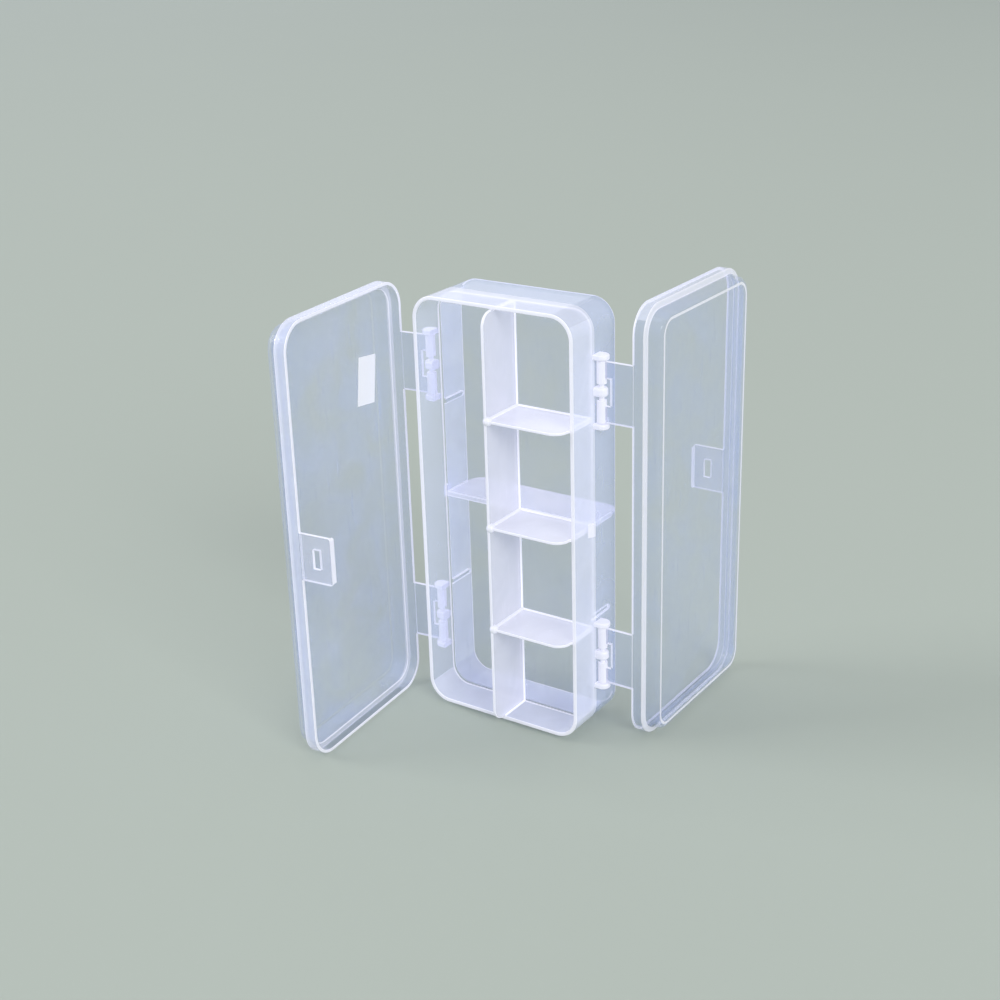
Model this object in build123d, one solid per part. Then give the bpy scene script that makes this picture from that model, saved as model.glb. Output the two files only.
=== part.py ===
from build123d import *

import os

# Double-sided compartment storage box in frosted clear plastic, on its short end with both lids open.
#
# Millimetres. +Z is up, along the box's longest side. X runs across the box and Y through its depth, with
# the front tray towards -Y and the back tray towards +Y. The origin lies under the middle of the box, on
# the plane that the lids' lower edges stand on. The front lid is hinged on the left wall and the back lid
# on the right wall, so the outside of the box looks the same after half a turn about Z.

# Box body
BOX_HEIGHT = 200.0
BOX_WIDTH = 82.5
BOX_DEPTH = 35.5
BOX_WALL = 1.8
BOX_CORNER_RADIUS = 11.0
RIM_ROUNDING = 0.5
WEB_THICKNESS = 1.2

# Dividers and shelves, which stand proud of the rim into the lids
FRONT_COMPARTMENTS = 4
BACK_COMPARTMENTS = 2
TALL_DIVIDER_X = 1.0
DIVIDER_THICKNESS = 1.3
DIVIDER_PROUD = 7.5
DIVIDER_CORNER_RADIUS = 6.5
DIVIDER_EDGE_ROUNDING = 0.4
POST_RADIUS = 1.8
POST_SETBACK = 0.6

# Low ribs with round ends on the side walls of the back tray
RIB_HEIGHTS = (0.25, 0.75)
RIB_WIDTH = 2.7
RIB_LENGTH = 13.4
RIB_PROUD = 1.2

# Lid: a skirt round the body's rim, a narrow ledge and a raised panel
LID_SIDE_GAP = 1.85
LID_END_GAP = 0.7
LID_WALL = 1.5
LID_CORNER_RADIUS = 13.0
LID_OVERLAP = 0.9
SKIRT_DEPTH = 5.8
LEDGE_WIDTH = 2.3
SHOULDER_ROUNDING = 0.6
PANEL_CLEARANCE = 2.1
PANEL_DRAFT = 10.0
PANEL_EDGE_RADIUS = 2.2

# Snap-on hinges, two for each lid
HINGE_SPACING = 126.0
HINGE_FROM_MIDDLE = 1.7
PIN_RADIUS = 1.15
PIN_CLEARANCE = 0.05
KNUCKLE_WALL = 1.05
MOUTH_SHARE_OF_PIN = 0.8
STRAP_HEIGHT = 27.8
NOTCH_HEIGHT = 12.0
NOTCH_LENGTH = 4.4
MIDDLE_EAR_HEIGHT = 4.4
MIDDLE_EAR_RADIUS = 2.85
MIDDLE_EAR_ROUNDING = 1.4
EAR_RADIUS = 3.4
EAR_THICKNESS = 2.4
EAR_ROUNDING = 0.7
END_PLAY = 0.4
MIDDLE_PLAY = 0.8

# Latch flap of each lid, with a lip that hooks behind a catch on the body
FLAP_HEIGHT = 22.0
FLAP_LENGTH = 15.5
FLAP_ROOT_GAP = 0.2
FLAP_CORNER_RADIUS = 1.2
WINDOW_HEIGHT = 9.0
WINDOW_LENGTH = 3.6
WINDOW_FROM_ROOT = 6.1
LIP_THICKNESS = 1.0
LATCH_PLAY = 0.3
CATCH_HEIGHT = 6.0
CATCH_LENGTH = 3.8
CATCH_RAMP = 2.4

# Plain label on the inner face of the front lid
LABEL_WIDTH = 13.6
LABEL_HEIGHT = 22.6
LABEL_THICKNESS = 0.15
LABEL_FROM_HINGE = 15.2
LABEL_BELOW_TOP = 45.7
LABEL_TILT = 7.7

# How far each lid stands open
FRONT_OPENING = 85.0
BACK_OPENING = 90.0

# Places that follow from the sizes above
MIDDLE_Z = BOX_HEIGHT / 2 + LID_END_GAP + LID_WALL
WALL_X = BOX_WIDTH / 2
INNER_X = WALL_X - BOX_WALL
INNER_HEIGHT = BOX_HEIGHT - 2 * BOX_WALL
INNER_RADIUS = BOX_CORNER_RADIUS - BOX_WALL
WEB_Y = WEB_THICKNESS / 2
RIM_Y = BOX_DEPTH / 2
DIVIDER_Y = RIM_Y + DIVIDER_PROUD
LID_HALF_WIDTH = WALL_X + LID_SIDE_GAP + LID_WALL
LID_HALF_HEIGHT = MIDDLE_Z
LID_INNER_X = WALL_X + LID_SIDE_GAP
LID_RIM_Y = RIM_Y - LID_OVERLAP
SHOULDER_Y = LID_RIM_Y + SKIRT_DEPTH
PANEL_Y = DIVIDER_Y + PANEL_CLEARANCE + LID_WALL
HINGE_X = WALL_X + LID_SIDE_GAP + LID_WALL / 2
HINGE_Y = HINGE_FROM_MIDDLE
BORE_RADIUS = PIN_RADIUS + PIN_CLEARANCE
KNUCKLE_RADIUS = BORE_RADIUS + KNUCKLE_WALL
EAR_Z = STRAP_HEIGHT / 2 + END_PLAY + EAR_THICKNESS / 2
FLAP_ROOT_Y = LID_RIM_Y - FLAP_ROOT_GAP
FLAP_END_Y = FLAP_ROOT_Y - FLAP_LENGTH
CATCH_Y = FLAP_END_Y + LIP_THICKNESS + LATCH_PLAY

FRONT_HINGE = Axis((-HINGE_X, -HINGE_Y, 0), (0, 0, 1))


def block(x_range, y_range, z_range):
    """A plain block between three pairs of planes."""
    sizes = [abs(b - a) for a, b in (x_range, y_range, z_range)]
    centre = [(a + b) / 2 for a, b in (x_range, y_range, z_range)]
    return Pos(*centre) * Box(*sizes)


def forward_slab(half_width, half_height, radius, y_from, y_to, draft=0):
    """A slab with rounded corners, from one depth forward to another. Draft draws its front face in."""
    plane = Plane(origin=(0, -y_from, MIDDLE_Z), x_dir=(1, 0, 0), z_dir=(0, -1, 0))
    outline = RectangleRounded(2 * half_width, 2 * half_height, radius)
    return extrude(plane * outline, amount=y_to - y_from, taper=draft)


def edges_at_y(solid, y):
    """The edges that lie in the upright plane at this depth."""
    boxes = [(edge, edge.bounding_box()) for edge in solid.edges()]
    return [edge for edge, box in boxes if abs(box.min.Y - y) < 0.01 and abs(box.max.Y - y) < 0.01]


def height_at(share):
    """Height of a place that lies at this share of the box's height."""
    return MIDDLE_Z + BOX_HEIGHT * (share - 0.5)


def levels(compartments):
    """Heights of the shelves between equal compartments."""
    return [height_at(i / compartments) for i in range(1, compartments)]


def side_rib(side, z):
    """A low rib on the inside of a side wall, from the web towards the back rim."""
    plane = Plane(origin=(side * INNER_X, WEB_Y, z), x_dir=(0, 1, 0), z_dir=(-side, 0, 0))
    rib = extrude(plane * SlotOverall(2 * RIB_LENGTH, RIB_WIDTH), amount=RIB_PROUD)
    return rib & block((-WALL_X, WALL_X), (WEB_Y, RIM_Y), (z - RIB_WIDTH, z + RIB_WIDTH))


def box_shell():
    """The four walls round both trays, the web between the trays and the ribs in the back tray."""
    walls = forward_slab(WALL_X, BOX_HEIGHT / 2, BOX_CORNER_RADIUS, -RIM_Y, RIM_Y)
    walls -= forward_slab(INNER_X, INNER_HEIGHT / 2, INNER_RADIUS, -RIM_Y, RIM_Y)
    walls = fillet(edges_at_y(walls, -RIM_Y) + edges_at_y(walls, RIM_Y), RIM_ROUNDING)
    shell = walls + forward_slab(INNER_X, INNER_HEIGHT / 2, INNER_RADIUS, -WEB_Y, WEB_Y)
    for share in RIB_HEIGHTS:
        for side in (-1, 1):
            shell += side_rib(side, height_at(share))
    return shell


def post(x, z):
    """Half of a round bar that runs forward from the web, with a domed front end."""
    length = DIVIDER_Y - POST_SETBACK - POST_RADIUS - WEB_Y
    outline = make_face([
        Line((0, 0), (POST_RADIUS, 0)),
        Line((POST_RADIUS, 0), (POST_RADIUS, length)),
        CenterArc((0, length), POST_RADIUS, 0, 90),
        Line((0, length + POST_RADIUS), (0, 0)),
    ])
    plane = Plane(origin=(x, -WEB_Y, z), x_dir=(0, 0, 1), z_dir=(1, 0, 0))
    return revolve(plane * outline, Axis((x, 0, z), (0, 1, 0)), 180)


def tall_divider():
    """The upright divider of the front tray, with a post where each shelf meets it."""
    x_range = (TALL_DIVIDER_X - DIVIDER_THICKNESS / 2, TALL_DIVIDER_X + DIVIDER_THICKNESS / 2)
    z_range = (MIDDLE_Z - INNER_HEIGHT / 2, MIDDLE_Z + INNER_HEIGHT / 2)
    plate = block(x_range, (-DIVIDER_Y, -WEB_Y), z_range)
    front_corners = [edge for edge in plate.edges().filter_by(Axis.X) if edge.center().Y < -RIM_Y]
    plate = fillet(front_corners, DIVIDER_CORNER_RADIUS)
    plate = fillet(edges_at_y(plate, -DIVIDER_Y), DIVIDER_EDGE_ROUNDING)
    for z in levels(FRONT_COMPARTMENTS):
        plate += post(x_range[1], z)
    return plate


def front_shelf(z, divider):
    """A shelf of the front tray, from the tall divider to the right wall."""
    x_from = TALL_DIVIDER_X + DIVIDER_THICKNESS / 2
    z_range = (z - DIVIDER_THICKNESS / 2, z + DIVIDER_THICKNESS / 2)
    plate = block((x_from, INNER_X), (-DIVIDER_Y, -WEB_Y), z_range)
    front_corners = [edge for edge in plate.edges().filter_by(Axis.Z) if edge.center().Y < -RIM_Y]
    front_corners.sort(key=lambda edge: edge.center().X)
    plate = chamfer(front_corners[0], POST_RADIUS)
    wall_corner = [edge for edge in plate.edges().filter_by(Axis.Z) if edge.center().Y < -RIM_Y]
    wall_corner.sort(key=lambda edge: edge.center().X)
    plate = fillet(wall_corner[-1], DIVIDER_CORNER_RADIUS)
    plate = fillet(edges_at_y(plate, -DIVIDER_Y), DIVIDER_EDGE_ROUNDING)
    return plate - divider


def back_shelf(z):
    """The shelf across the whole back tray."""
    z_range = (z - DIVIDER_THICKNESS / 2, z + DIVIDER_THICKNESS / 2)
    plate = block((-INNER_X, INNER_X), (WEB_Y, DIVIDER_Y), z_range)
    back_corners = [edge for edge in plate.edges().filter_by(Axis.Z) if edge.center().Y > RIM_Y]
    plate = fillet(back_corners, DIVIDER_CORNER_RADIUS)
    return fillet(edges_at_y(plate, DIVIDER_Y), DIVIDER_EDGE_ROUNDING)


def hinge_centres():
    """Heights of the lower and the upper hinge."""
    return [MIDDLE_Z - HINGE_SPACING / 2, MIDDLE_Z + HINGE_SPACING / 2]


def about_front_hinge(sketch, z, height):
    """Extrude a sketch drawn about the front lid's hinge axis, centred on this height."""
    return extrude(Plane(origin=(-HINGE_X, -HINGE_Y, z - height / 2)) * sketch, amount=height)


def ear_outline(radius):
    """A round end about the pin, carried back to the wall and cut off flush with it."""
    to_wall = HINGE_X - WALL_X
    outline = Circle(radius) + Pos(to_wall / 2, 0) * Rectangle(to_wall, 2 * radius)
    return outline - Pos(to_wall + radius, 0) * Rectangle(2 * radius, 2 * radius)


def ear(z, radius, thickness, rounding):
    """An ear that grows out of the wall round a hinge pin, with its outer edges rounded."""
    block_ear = about_front_hinge(ear_outline(radius), z, thickness)
    upright = block_ear.edges().filter_by(Axis.Z)
    rim = [edge for edge in block_ear.edges() - upright if edge.center().X < -WALL_X - 0.01]
    return fillet(rim, rounding)


def end_ear(z):
    """One of the two thick ears that hold a hinge pin's ends."""
    return ear(z, EAR_RADIUS, EAR_THICKNESS, EAR_ROUNDING)


def middle_ear(z):
    """The full, round-edged ear that steadies the middle of a hinge pin."""
    return ear(z, MIDDLE_EAR_RADIUS, MIDDLE_EAR_HEIGHT, MIDDLE_EAR_ROUNDING)


def hinge_pin(z):
    """One hinge on the left wall: a pin between two end ears, with an ear at its middle."""
    pin = about_front_hinge(Circle(PIN_RADIUS), z, 2 * EAR_Z)
    return pin + end_ear(z - EAR_Z) + end_ear(z + EAR_Z) + middle_ear(z)


def catch():
    """The catch on the right wall for the front lid's lip, with a ramp that the lip rides up."""
    reach_x = LID_INNER_X - LATCH_PLAY
    outline = Polyline(
        (WALL_X, -CATCH_Y),
        (reach_x, -CATCH_Y),
        (reach_x, -(CATCH_Y + CATCH_LENGTH - CATCH_RAMP)),
        (WALL_X, -(CATCH_Y + CATCH_LENGTH)),
        close=True,
    )
    plane = Plane(origin=(0, 0, MIDDLE_Z - CATCH_HEIGHT / 2))
    return extrude(plane * make_face(outline), amount=CATCH_HEIGHT)


def lid_form(inset, panel_y, edge_radius):
    """The skirt and raised panel of the closed front lid, drawn in all round by an inset."""
    skirt = forward_slab(
        LID_HALF_WIDTH - inset,
        LID_HALF_HEIGHT - inset,
        LID_CORNER_RADIUS - inset,
        LID_RIM_Y,
        SHOULDER_Y - inset,
    )
    if inset == 0:
        skirt = fillet(edges_at_y(skirt, -SHOULDER_Y), SHOULDER_ROUNDING)
    panel = forward_slab(
        LID_HALF_WIDTH - LEDGE_WIDTH - inset,
        LID_HALF_HEIGHT - LEDGE_WIDTH - inset,
        LID_CORNER_RADIUS - LEDGE_WIDTH - inset,
        SHOULDER_Y - LID_WALL,
        panel_y,
        PANEL_DRAFT,
    )
    return skirt + fillet(edges_at_y(panel, -panel_y), edge_radius)


def hinge_strap(z):
    """A strap from the closed front lid's rim to its hinge, notched in the middle, with two knuckles."""
    z_range = (z - STRAP_HEIGHT / 2, z + STRAP_HEIGHT / 2)
    x_range = (-LID_HALF_WIDTH, -LID_INNER_X)
    strap = block(x_range, (-LID_RIM_Y, -HINGE_Y), z_range)
    notch_z = (z - NOTCH_HEIGHT / 2, z + NOTCH_HEIGHT / 2)
    strap -= block(x_range, (-(HINGE_Y + NOTCH_LENGTH), -HINGE_Y), notch_z)

    middle_gap = MIDDLE_EAR_HEIGHT + 2 * MIDDLE_PLAY
    knuckles = about_front_hinge(Circle(KNUCKLE_RADIUS), z, STRAP_HEIGHT)
    knuckles -= about_front_hinge(Circle(KNUCKLE_RADIUS), z, middle_gap)
    strap += knuckles

    mouth = 2 * PIN_RADIUS * MOUTH_SHARE_OF_PIN
    bore = Circle(BORE_RADIUS) + Pos(0, KNUCKLE_RADIUS / 2) * Rectangle(mouth, KNUCKLE_RADIUS)
    return strap - about_front_hinge(bore, z, STRAP_HEIGHT)


def closed_lid():
    """The front lid, closed."""
    lid = lid_form(0, PANEL_Y, PANEL_EDGE_RADIUS)
    lid -= lid_form(LID_WALL, PANEL_Y - LID_WALL, PANEL_EDGE_RADIUS - LID_WALL / 2)
    for z in hinge_centres():
        lid += hinge_strap(z)
    return lid


def closed_flap():
    """The front lid's latch flap, closed: a plate with a window, and a lip turned in at its end."""
    z_range = (MIDDLE_Z - FLAP_HEIGHT / 2, MIDDLE_Z + FLAP_HEIGHT / 2)
    plate = block((LID_INNER_X, LID_HALF_WIDTH), (-FLAP_ROOT_Y, -FLAP_END_Y), z_range)
    lip_x = (WALL_X + LATCH_PLAY, LID_HALF_WIDTH)
    plate += block(lip_x, (-(FLAP_END_Y + LIP_THICKNESS), -FLAP_END_Y), z_range)
    end_corners = [edge for edge in plate.edges().filter_by(Axis.X) if edge.center().Y > -FLAP_END_Y - 0.01]
    plate = fillet(end_corners, FLAP_CORNER_RADIUS)
    window_y = (-(FLAP_ROOT_Y - WINDOW_FROM_ROOT), -(FLAP_ROOT_Y - WINDOW_FROM_ROOT - WINDOW_LENGTH))
    window_z = (MIDDLE_Z - WINDOW_HEIGHT / 2, MIDDLE_Z + WINDOW_HEIGHT / 2)
    return plate - block((LID_INNER_X, LID_HALF_WIDTH), window_y, window_z)


def closed_label():
    """The label on the closed front lid's inner face."""
    centre = (-HINGE_X + LABEL_FROM_HINGE, LID_WALL - PANEL_Y, 2 * LID_HALF_HEIGHT - LABEL_BELOW_TOP)
    plane = Plane(origin=centre, x_dir=(-1, 0, 0), z_dir=(0, 1, 0))
    return extrude(plane * Rot(0, 0, -LABEL_TILT) * Rectangle(LABEL_WIDTH, LABEL_HEIGHT), amount=LABEL_THICKNESS)


def open_front(piece):
    """Swing a piece of the closed front lid to where that lid stands."""
    return piece.rotate(FRONT_HINGE, -FRONT_OPENING)


def open_back(piece):
    """Turn a piece of the closed front lid into its twin on the back lid as that lid stands."""
    return to_back(piece.rotate(FRONT_HINGE, -BACK_OPENING))


def to_back(piece):
    """Turn a piece of the front lid's side into its twin on the back lid's side."""
    return piece.rotate(Axis.Z, 180)


def write(piece, node):
    """Save one named piece."""
    export_step(piece, f"parts/{node}.step")


def write_body():
    """The box with its divider, shelves, hinge pins and catches."""
    write(box_shell(), "box_shell")
    divider = tall_divider()
    write(divider, "tall_divider")
    for name, z in zip(("lower", "middle", "upper"), levels(FRONT_COMPARTMENTS)):
        write(front_shelf(z, divider), f"front_shelf_{name}")
    for z in levels(BACK_COMPARTMENTS):
        write(back_shelf(z), "back_shelf")
    for name, z in zip(("lower", "upper"), hinge_centres()):
        pin = hinge_pin(z)
        write(pin, f"front_hinge_pin_{name}")
        write(to_back(pin), f"back_hinge_pin_{name}")
    tooth = catch()
    write(tooth, "front_lid_catch")
    write(to_back(tooth), "back_lid_catch")


def write_lids():
    """Both lids with their latch flaps, and the label."""
    lid = closed_lid()
    flap = closed_flap()
    write(open_front(lid), "front_lid")
    write(open_front(flap), "front_latch_flap")
    write(open_front(closed_label()), "front_lid_label")
    write(open_back(lid), "back_lid")
    write(open_back(flap), "back_latch_flap")


os.makedirs("parts", exist_ok=True)
write_body()
write_lids()
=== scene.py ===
import math

import bmesh
import bpy
from bpy.props import FloatProperty, FloatVectorProperty, IntProperty, PointerProperty
from mathutils import Matrix, Vector


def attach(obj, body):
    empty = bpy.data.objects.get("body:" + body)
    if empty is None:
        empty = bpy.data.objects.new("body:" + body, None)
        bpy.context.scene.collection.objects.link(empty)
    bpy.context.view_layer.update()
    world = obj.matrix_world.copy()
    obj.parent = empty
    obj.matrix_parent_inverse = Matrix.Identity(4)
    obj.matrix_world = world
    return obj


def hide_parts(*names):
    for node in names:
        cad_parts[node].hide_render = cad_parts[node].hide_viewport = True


# Double-sided compartment storage box in frosted clear plastic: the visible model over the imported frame.
# The mesh code works in millimetres. finish_piece turns each piece to metres.

bl_info = {
    "name": "Compartment Storage Box",
    "version": (1, 0, 0),
    "blender": (4, 5, 0),
    "location": "View3D > Sidebar > Storage Box",
    "description": "Builds the looks of a double-sided compartment box with two lids",
    "category": "Add Mesh",
}

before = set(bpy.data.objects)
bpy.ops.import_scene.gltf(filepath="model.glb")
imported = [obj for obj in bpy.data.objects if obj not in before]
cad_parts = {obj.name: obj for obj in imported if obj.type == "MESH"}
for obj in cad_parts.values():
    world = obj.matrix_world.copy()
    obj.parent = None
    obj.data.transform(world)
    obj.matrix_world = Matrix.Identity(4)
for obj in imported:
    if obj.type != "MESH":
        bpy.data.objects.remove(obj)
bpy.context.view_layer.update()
MM = 0.001

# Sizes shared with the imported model
BOX_HEIGHT = 200.0
BOX_WIDTH = 82.5
BOX_DEPTH = 35.5
BOX_CORNER_RADIUS = 11.0
WEB_THICKNESS = 1.2
BOX_WALL = 1.8
LID_SIDE_GAP = 1.85
LID_END_GAP = 0.7
LID_WALL = 1.5
LID_CORNER_RADIUS = 13.0
LID_OVERLAP = 0.9
SKIRT_DEPTH = 5.8
LEDGE_WIDTH = 2.3
PANEL_Y = 28.85
PANEL_DRAFT = math.radians(10.0)
PANEL_EDGE_RADIUS = 2.2
HINGE_Y = 1.7
HINGE_SPACING = 126.0
BORE_RADIUS = 1.2
KNUCKLE_RADIUS = 2.25
MOUTH = 1.84
STRAP_HEIGHT = 27.8
NOTCH_HEIGHT = 12.0
NOTCH_LENGTH = 4.4
MIDDLE_GAP = 7.4
FLAP_HEIGHT = 22.0
FLAP_LENGTH = 15.5
WINDOW_HEIGHT = 9.0
WINDOW_LENGTH = 3.6
WINDOW_FROM_ROOT = 6.1
TALL_DIVIDER_X = 1.0
DIVIDER_THICKNESS = 1.3
DIVIDER_PROUD = 7.5
DIVIDER_CORNER_RADIUS = 6.5
DIVIDER_ROUNDING = 0.45

# Forms of the visible model alone
PANEL_BORDER = 1.2
RIM_BAND = 0.35
SHOULDER_ROUNDING = 0.6
LEAST_CORNER = 0.8
STRAP_SUNK = 0.8
STRAP_PAST_PIN = 1.6
KNUCKLE_ROUNDING = 0.18
FLAP_CORNER = 1.2
LIP_DEPTH = 1.0
POST_RADIUS = 1.5
POST_SUNK = 0.3
KNOB_RADIUS = 2.15
KNOB_PROUD = 0.9
KNOB_OFFSET = 0.1
KNOB_STEPS = 14
KNOB_SIDES = 24
SHELF_NICK = 1.4
SUNK = 0.2
FILLET_LEG = 0.65
FILLET_SUNK = 0.04
FILLET_SHORT = 0.6
FILLET_STEPS = 5
RIB_FROM_MIDDLE = 45.4
RIB_WIDTH = 2.6
RIB_LENGTH = 15.0
RIB_PROUD = 1.2
RIB_SUNK = 0.6
RIB_ROUNDING = 0.4
RIM_STEPS = 4
DIVIDER_STEPS = 14
SMOOTH_ANGLE = math.radians(32.0)
NEAR = 0.01

# How far the zones reach whose faces have a finish of their own. The bottom, left and top zones hold lit and
# shaded copies of the box plastic, with more painted glow in shade and less in light; the lid border zone
# holds a painted highlight.
BOTTOM_ZONE = 12.0
LEFT_ZONE = 3.0
TOP_ZONE = 3.0
LID_HINGE_ZONE = 1.0
LID_BORDER_ZONE = 12.0

# Places that follow from the sizes
MIDDLE_Z = BOX_HEIGHT / 2 + LID_END_GAP + LID_WALL
WALL_X = BOX_WIDTH / 2
INNER_X = WALL_X - BOX_WALL
RIM_Y = BOX_DEPTH / 2
LID_INNER_X = WALL_X + LID_SIDE_GAP
LID_OUTER_X = WALL_X + LID_SIDE_GAP + LID_WALL
LID_RIM_Y = RIM_Y - LID_OVERLAP
SHOULDER_Y = LID_RIM_Y + SKIRT_DEPTH
HINGE_X = WALL_X + LID_SIDE_GAP + LID_WALL / 2
FLAP_ROOT_Y = LID_RIM_Y - 0.2
FLAP_END_Y = FLAP_ROOT_Y - FLAP_LENGTH
DIVIDER_Y = RIM_Y + DIVIDER_PROUD
PAST_RIM_Y = RIM_Y + 0.5
INNER_BOTTOM = MIDDLE_Z - BOX_HEIGHT / 2 + BOX_WALL
INNER_TOP = MIDDLE_Z + BOX_HEIGHT / 2 - BOX_WALL
FACE_X = TALL_DIVIDER_X + DIVIDER_THICKNESS / 2
SHELF_HEIGHTS = tuple(MIDDLE_Z + BOX_HEIGHT * share for share in (-0.25, 0.0, 0.25))
HINGE_HEIGHTS = (MIDDLE_Z - HINGE_SPACING / 2, MIDDLE_Z + HINGE_SPACING / 2)
FRONT_OPENING = math.radians(85.0)
BACK_OPENING = math.radians(90.0)

# Camera, from the lines of the box in the photograph
CAMERA_TARGET = Vector((0.0, 0.0, 0.1022))
CAMERA_AZIMUTH = math.radians(33.85)
CAMERA_ELEVATION = math.radians(22.42)
CAMERA_ROLL = math.radians(-1.48)
CAMERA_DISTANCE = 0.72778
CAMERA_FOCUS = 1597.85
CAMERA_CENTRE = (517.37, 509.47)
FRAME_PIXELS = 1000.0
SENSOR_WIDTH = 36.0

# Soft lamps: name, place, power and tint
LAMP_SIZE = 4.0
LAMP_AIM = Vector((0.0, 0.0, 0.08))
LAMPS = (
    ("key_lamp", (6.7, -4.0, 4.3), 385.0, (1.0, 1.0, 1.0)),
    ("fill_lamp", (-6.7, -4.0, 4.3), 325.0, (0.97, 0.96, 1.0)),
    ("top_lamp", (0.6, 0.8, 8.0), 60.0, (1.0, 1.0, 1.0)),
    ("back_lamp", (-5.2, 5.6, 2.4), 55.0, (0.82, 0.84, 1.0)),
)
AIR_LIGHT = (0.88, 0.90, 1.0, 1.0)
AIR_STRENGTH = 0.6
FLOOR_RADIUS = 8.0
FLOOR_SIDES = 24

# Finishes of the box body, the divider and its shelves, the lids and the flaps, by number.
# LID_BAND is the strip beside a lid's rim, which takes a finish by its place.
# FAR_RIM, BACK_INSIDE and TRAY_TOP are copies of the rim, inside and tray finishes with more or less painted
# glow, for places in shade and in light.
WALL, WEB, RIM, TRAY, INSIDE, FAR_RIM, BACK_INSIDE, TRAY_TOP = range(8)
PLATE, PLATE_EDGE, POST = range(3)
LID_PANEL, LID_SKIRT, LID_BRIGHT, LID_KNUCKLE, LID_SOFT, LID_BORDER, LID_OUTSIDE, LID_BAND = range(8)
FLAP_PLATE, FLAP_EDGE = range(2)

# The moulded plastic: its grain, and how scuffs and the flow in the mould change it
PLASTIC_IOR = 1.49
FLOW_SCALE = 40.0
GRAIN_SCALE = 900.0
SCRATCH_SCALE = 420.0
SCRATCH_RANGE = (0.62, 0.74)
GRAIN_HEIGHT = 0.25
FLOW_RANGE = (0.3, 0.7)
TINT_DRIFT = 0.03
SCUFF_ROUGHNESS = 0.2
SCUFF_CATCH = 0.25
RELIEF_STRENGTH = 0.05
RELIEF_DISTANCE = 0.001

# The label's paper and the floor
PAPER_ROUGHNESS = 0.7
FLOOR_ROUGHNESS = 0.85
FLOOR_GLOSS = 0.2
FLOOR_CLOUD_SCALE = 2.0
FLOOR_DRIFT = 0.015

# What each finish is made of. Body is how much light it catches, cloud how far that drifts over the piece,
# behind its share when seen from behind, and the glow is painted light: an emission that brightens
# rims and faces, most where they lie in shade.
FINISHES = {
    "wall_outside_blue": dict(
        tint="clear", body=0.42, transmission=0.15, roughness=0.16, cloud=0.05, scuffs=0.2, behind=0.3),
    # The front tray's outside: a hazier copy of the wall plastic with painted glow, lit brighter than the back
    # half.
    "tray_outside_hazy": dict(
        tint="hazy", body=0.6, transmission=0.03, roughness=0.2, cloud=0.05, scuffs=0.1, behind=0.2,
        painted_glow=0.14),
    # The top strip of the front tray's outside, which the lamps light most: the same with less painted glow.
    "tray_top_hazy": dict(
        tint="hazy", body=0.55, transmission=0.03, roughness=0.2, cloud=0.05, scuffs=0.1, behind=0.2,
        painted_glow=0.05),
    # The tray walls' inside: clear plastic with painted glow that lights the wall seen from within the box.
    "wall_inside_clear": dict(
        tint="inner", body=0.28, transmission=0.04, roughness=0.14, cloud=0.04, scuffs=0.15, behind=0.4,
        painted_glow=0.18),
    # The back tray's inside, in shade behind the web and the divider: hazy plastic with strong painted glow.
    "back_inside_clear": dict(
        tint="hazy", body=0.42, transmission=0.04, roughness=0.14, cloud=0.05, scuffs=0.15, behind=0.4,
        painted_glow=0.42),
    "web_clear": dict(tint="clear", body=0.14, transmission=0.3, roughness=0.06, cloud=0.05),
    "lid_panel_clear": dict(
        tint="clear", body=0.19, transmission=0.25, roughness=0.06, cloud=0.08, scuffs=0.6),
    "lid_skirt_clear": dict(
        tint="clear", body=0.2, transmission=0.25, roughness=0.12, cloud=0.04, scuffs=0.2),
    # The outside of a lid's skirt: hazy plastic with painted glow.
    "skirt_outside_hazy": dict(
        tint="hazy", body=0.42, transmission=0.15, roughness=0.16, cloud=0.04, scuffs=0.2, behind=0.5,
        painted_glow=0.15),
    "flap_hazy": dict(tint="hazy", body=0.3, transmission=0.2, roughness=0.14, cloud=0.04, behind=0.8),
    # The soft and border finishes are painted highlights: bright lines of light along a lid's shoulder, the
    # ledge's foot and the panel's edge.
    "soft_edge_hazy": dict(
        tint="edge", body=0.78, transmission=0.1, roughness=0.25, scuffs=0.1, behind=0.75, painted_glow=0.08),
    "border_edge_bright": dict(
        tint="edge", body=0.8, transmission=0.05, roughness=0.25, scuffs=0.1, behind=0.1, painted_glow=0.1),
    # The rims and cut edges: near-solid pale plastic with painted glow, a painted stand-in for the light they
    # gather.
    "rim_edge_bright": dict(tint="edge", body=0.93, transmission=0.05, roughness=0.25, scuffs=0.1, painted_glow=0.1),
    # The back rims and root fillets, seen in shade through the box: a bright edge with strong painted glow.
    "far_edge_bright": dict(tint="edge", body=0.93, transmission=0.05, roughness=0.25, scuffs=0.1, painted_glow=0.25),
    "divider_milky": dict(tint="milky", body=0.6, transmission=0.12, roughness=0.22, cloud=0.04, scuffs=0.15),
    # The shelves: milky plastic with a little painted glow.
    "shelf_milky": dict(
        tint="edge", body=0.68, transmission=0.12, roughness=0.22, cloud=0.04, scuffs=0.15, painted_glow=0.07),
    # The hinges, catches and shelf posts: milky plastic with painted glow that keeps them bright in shade.
    "hinge_milky": dict(tint="edge", body=0.86, transmission=0.06, roughness=0.2, scuffs=0.1, painted_glow=0.12),
}


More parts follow.
